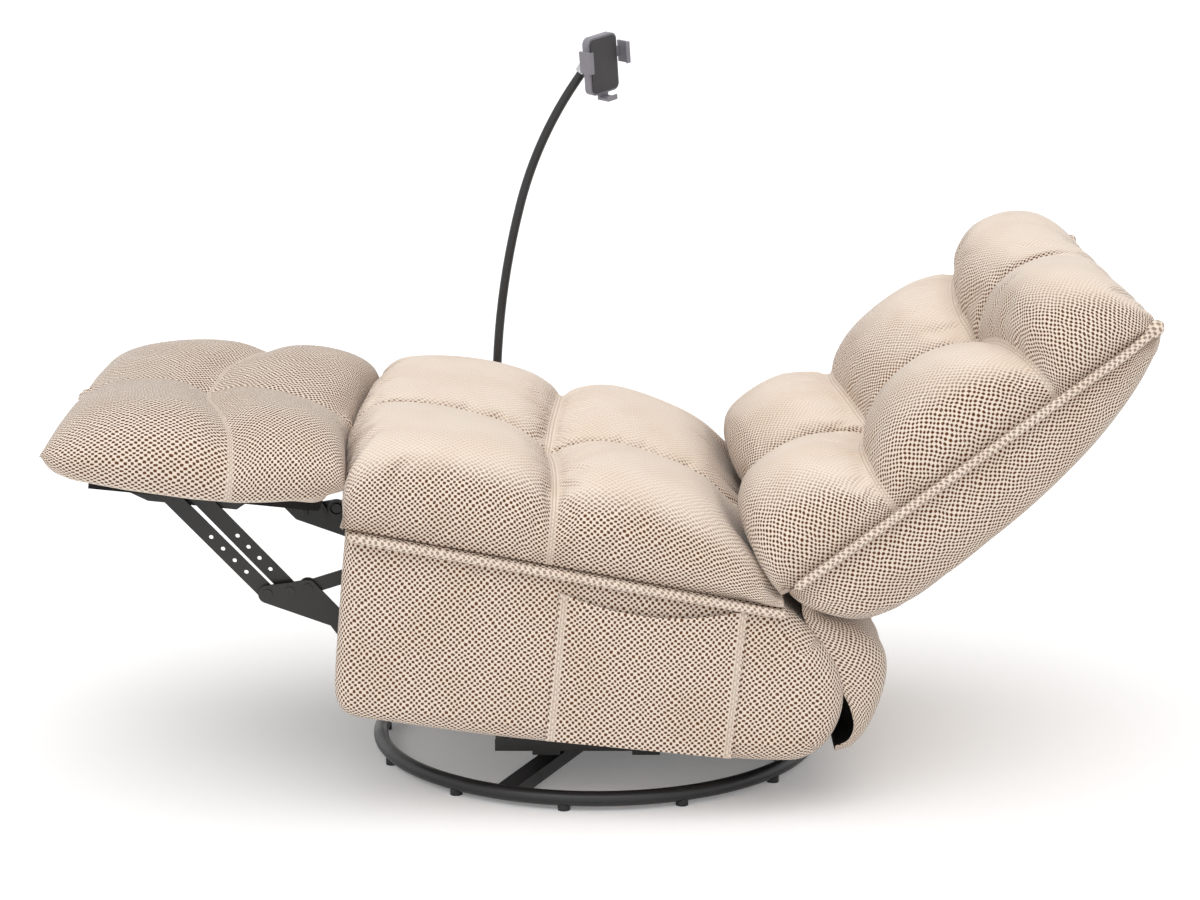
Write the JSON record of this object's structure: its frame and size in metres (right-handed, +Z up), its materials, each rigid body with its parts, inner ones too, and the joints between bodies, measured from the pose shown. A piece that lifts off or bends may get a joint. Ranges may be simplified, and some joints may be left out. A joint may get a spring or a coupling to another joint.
{
  "type": "power swivel rocker recliner",
  "caption": "Fabric recliner laid back with the footrest out, on a round swivel rocker base, with side pockets and a phone holder on a gooseneck.",
  "frame": {"origin": "centre of the base ring on the floor, on the swivel axis", "axes": "+Z up; -X the way the chair faces and the footrest reaches; +Y to the occupant's right"},
  "size_m": [1.5427, 0.8081, 1.0324],
  "materials": {
    "ring_paint": "satin black paint",
    "steel_black": "black coated steel",
    "link_steel": "zinc plated steel",
    "glide_plastic": "moulded nylon",
    "cloth": "woven mesh upholstery cloth",
    "cord_cloth": "piping cord",
    "flap_cloth": "plain backing cloth",
    "timber": "sawn poplar and plywood",
    "deck_cloth": "woven polypropylene deck",
    "actuator_plastic": "moulded housing",
    "actuator_steel": "ground steel rod",
    "motor_steel": "motor can",
    "panel_plastic": "gloss bezel",
    "button_plastic": "soft touch key",
    "neck_rubber": "sleeved gooseneck",
    "collar_metal": "plated collar",
    "holder_plastic": "grey moulded plastic",
    "pad_rubber": "soft face pad"
  },
  "bodies": {
    "base": {"base_ring": "ring_paint", "base_crossbars": "ring_paint", "base_glides": "glide_plastic", "swivel_lower_race": "steel_black", "swivel_balls": "link_steel", "king_bolt": "link_steel"},
    "swivel": {"swivel_upper_race": "steel_black", "rocker_cross_members": "steel_black", "rocker_rails": "steel_black", "rocker_springs": "link_steel"},
    "seat_body": {"rocker_cams": "steel_black", "cross_tubes": "steel_black", "mechanism_side_plates": "steel_black", "plate_rivets": "link_steel", "side_panels": "timber", "side_blocks": "timber", "side_cover_left": "cloth", "side_cover_right": "cloth", "seat_front_rail": "timber", "seat_rear_rail": "timber", "seat_springs": "link_steel", "seat_deck": "deck_cloth", "seat_cushion": "cloth", "seat_welts": "cord_cloth", "side_pockets": "cloth", "rear_flap": "flap_cloth", "control_panel": "panel_plastic", "neck_bracket": "steel_black"},
    "carry": {"carry_links": "steel_black", "carry_rivets": "link_steel"},
    "rear_links": {"rear_long_links": "steel_black"},
    "front_links": {"front_long_links": "steel_black"},
    "footrest": {"footrest_brackets": "steel_black", "footrest_board": "timber", "footrest_cushion": "cloth"},
    "torque_shaft": {"torque_tube": "steel_black"},
    "drive": {"drive_links": "steel_black"},
    "actuator": {"actuator_gearbox": "actuator_plastic", "actuator_motor": "motor_steel", "actuator_tube": "actuator_steel"},
    "plunger": {"actuator_rod": "actuator_steel"},
    "back": {"back_cushion": "cloth", "outer_back": "cloth", "back_frame": "timber", "back_straps": "deck_cloth", "back_brackets": "steel_black", "back_welts": "cord_cloth"},
    "stays": {"stay_links": "steel_black"},
    "recline_key": {"recline_button": "button_plastic"},
    "return_key": {"return_button": "button_plastic"},
    "neck": {"gooseneck": "neck_rubber", "ball_nut": "collar_metal", "holder_ball": "collar_metal"},
    "ball_cup": {"holder_socket": "holder_plastic"},
    "holder": {"holder_body": "holder_plastic", "face_pad": "pad_rubber"},
    "left_jaw": {"jaw_left": "holder_plastic"},
    "right_jaw": {"jaw_right": "holder_plastic"},
    "foot_lip": {"phone_foot": "holder_plastic"}
  },
  "joints": [
    {"name": "swivel_turn", "type": "hinge", "parent": "base", "child": "swivel", "pos_m": [0, 0, 0.036], "axis": [0, 0, 1], "continuous": true},
    {"name": "rock", "type": "hinge", "parent": "swivel", "child": "seat_body", "pos_m": [0, 0, 0.125], "axis": [0, 1, 0], "range_deg": [-11.8, 2], "stiffness_Nm_per_rad": 900, "springref_deg": -1.8, "deforming": ["rocker_springs"]},
    {"name": "footrest_fold", "type": "hinge", "parent": "seat_body", "child": "carry", "pos_m": [-0.30253, 0, 0.16478], "axis": [0, 1, 0], "range_deg": [0, 65.23]},
    {"name": "rear_link_turn", "type": "hinge", "parent": "carry", "child": "rear_links", "pos_m": [-0.43387, 0, 0.29672], "axis": [0, -1, 0], "range_deg": [0, 115.61]},
    {"name": "front_link_turn", "type": "hinge", "parent": "carry", "child": "front_links", "pos_m": [-0.46542, 0, 0.29289], "axis": [0, -1, 0], "range_deg": [0, 134.6]},
    {"name": "footrest_turn", "type": "hinge", "parent": "rear_links", "child": "footrest", "pos_m": [-0.55983, 0, 0.43215], "axis": [0, -1, 0], "range_deg": [0, 25.62]},
    {"name": "torque_turn", "type": "hinge", "parent": "seat_body", "child": "torque_shaft", "pos_m": [-0.19039, 0, 0.22978], "axis": [0, 1, 0], "range_deg": [0, 76.76]},
    {"name": "drive_link_turn", "type": "hinge", "parent": "torque_shaft", "child": "drive", "pos_m": [-0.294, 0, 0.3378], "axis": [0, -1, 0], "range_deg": [0, 77.16]},
    {"name": "actuator_swing", "type": "hinge", "parent": "seat_body", "child": "actuator", "pos_m": [0.23539, 0, 0.16642], "axis": [0, 1, 0], "range_deg": [0, 5.32]},
    {"name": "plunger_slide", "type": "slide", "parent": "actuator", "child": "plunger", "axis": [-0.9811, 0, 0.1934], "range_m": [-0.06137, 0]},
    {"name": "back_raise", "type": "hinge", "parent": "seat_body", "child": "back", "pos_m": [0.23427, 0, 0.40275], "axis": [0, -1, 0], "range_deg": [0, 34]},
    {"name": "stay_turn", "type": "hinge", "parent": "back", "child": "stays", "pos_m": [0.25531, 0, 0.30311], "axis": [0, 1, 0], "range_deg": [0, 31.28]},
    {"name": "recline_press", "type": "slide", "parent": "seat_body", "child": "recline_key", "axis": [0, -1, 0], "range_m": [0, 0.002], "stiffness_N_per_m": 500, "springref_m": -0.0005},
    {"name": "return_press", "type": "slide", "parent": "seat_body", "child": "return_key", "axis": [0, -1, 0], "range_m": [0, 0.002], "stiffness_N_per_m": 500, "springref_m": -0.0005},
    {"name": "neck_swivel", "type": "hinge", "parent": "seat_body", "child": "neck", "pos_m": [-0.17483, 0.405, 0.31765], "axis": [0.1011, 0, 0.9949], "range_deg": [-150, 60]},
    {"name": "holder_tilt", "type": "hinge", "parent": "neck", "child": "ball_cup", "pos_m": [-0.005, 0.39086, 0.97085], "axis": [0.7079, 0.6881, 0.1593], "range_deg": [-25, 25]},
    {"name": "holder_turn", "type": "hinge", "parent": "ball_cup", "child": "holder", "pos_m": [-0.005, 0.39086, 0.97085], "axis": [0.7035, -0.7071, -0.0715], "range_deg": [-90, 90]},
    {"name": "left_jaw_slide", "type": "slide", "parent": "holder", "child": "left_jaw", "axis": [-0.7079, -0.6881, -0.1593], "range_m": [0, 0.01], "stiffness_N_per_m": 300, "springref_m": -0.008},
    {"name": "right_jaw_slide", "type": "slide", "parent": "holder", "child": "right_jaw", "axis": [0.7079, 0.6881, 0.1593], "range_m": [0, 0.01]},
    {"name": "foot_lip_slide", "type": "slide", "parent": "holder", "child": "foot_lip", "axis": [0.0635, 0.1627, -0.9846], "range_m": [0, 0.018]}
  ],
  "couplings": [
    {"joint": "rear_link_turn", "follows": "footrest_fold", "ratio": 1.7723},
    {"joint": "front_link_turn", "follows": "footrest_fold", "ratio": 2.0635},
    {"joint": "footrest_turn", "follows": "footrest_fold", "ratio": 0.39279},
    {"joint": "torque_turn", "follows": "footrest_fold", "ratio": 1.1767},
    {"joint": "drive_link_turn", "follows": "footrest_fold", "ratio": 1.1828},
    {"joint": "actuator_swing", "follows": "footrest_fold", "ratio": 0.08162},
    {"joint": "plunger_slide", "follows": "footrest_fold", "m_per_rad": -0.053903},
    {"joint": "stay_turn", "follows": "back_raise", "ratio": 0.91997},
    {"joint": "right_jaw_slide", "follows": "left_jaw_slide", "ratio": 1}
  ]
}
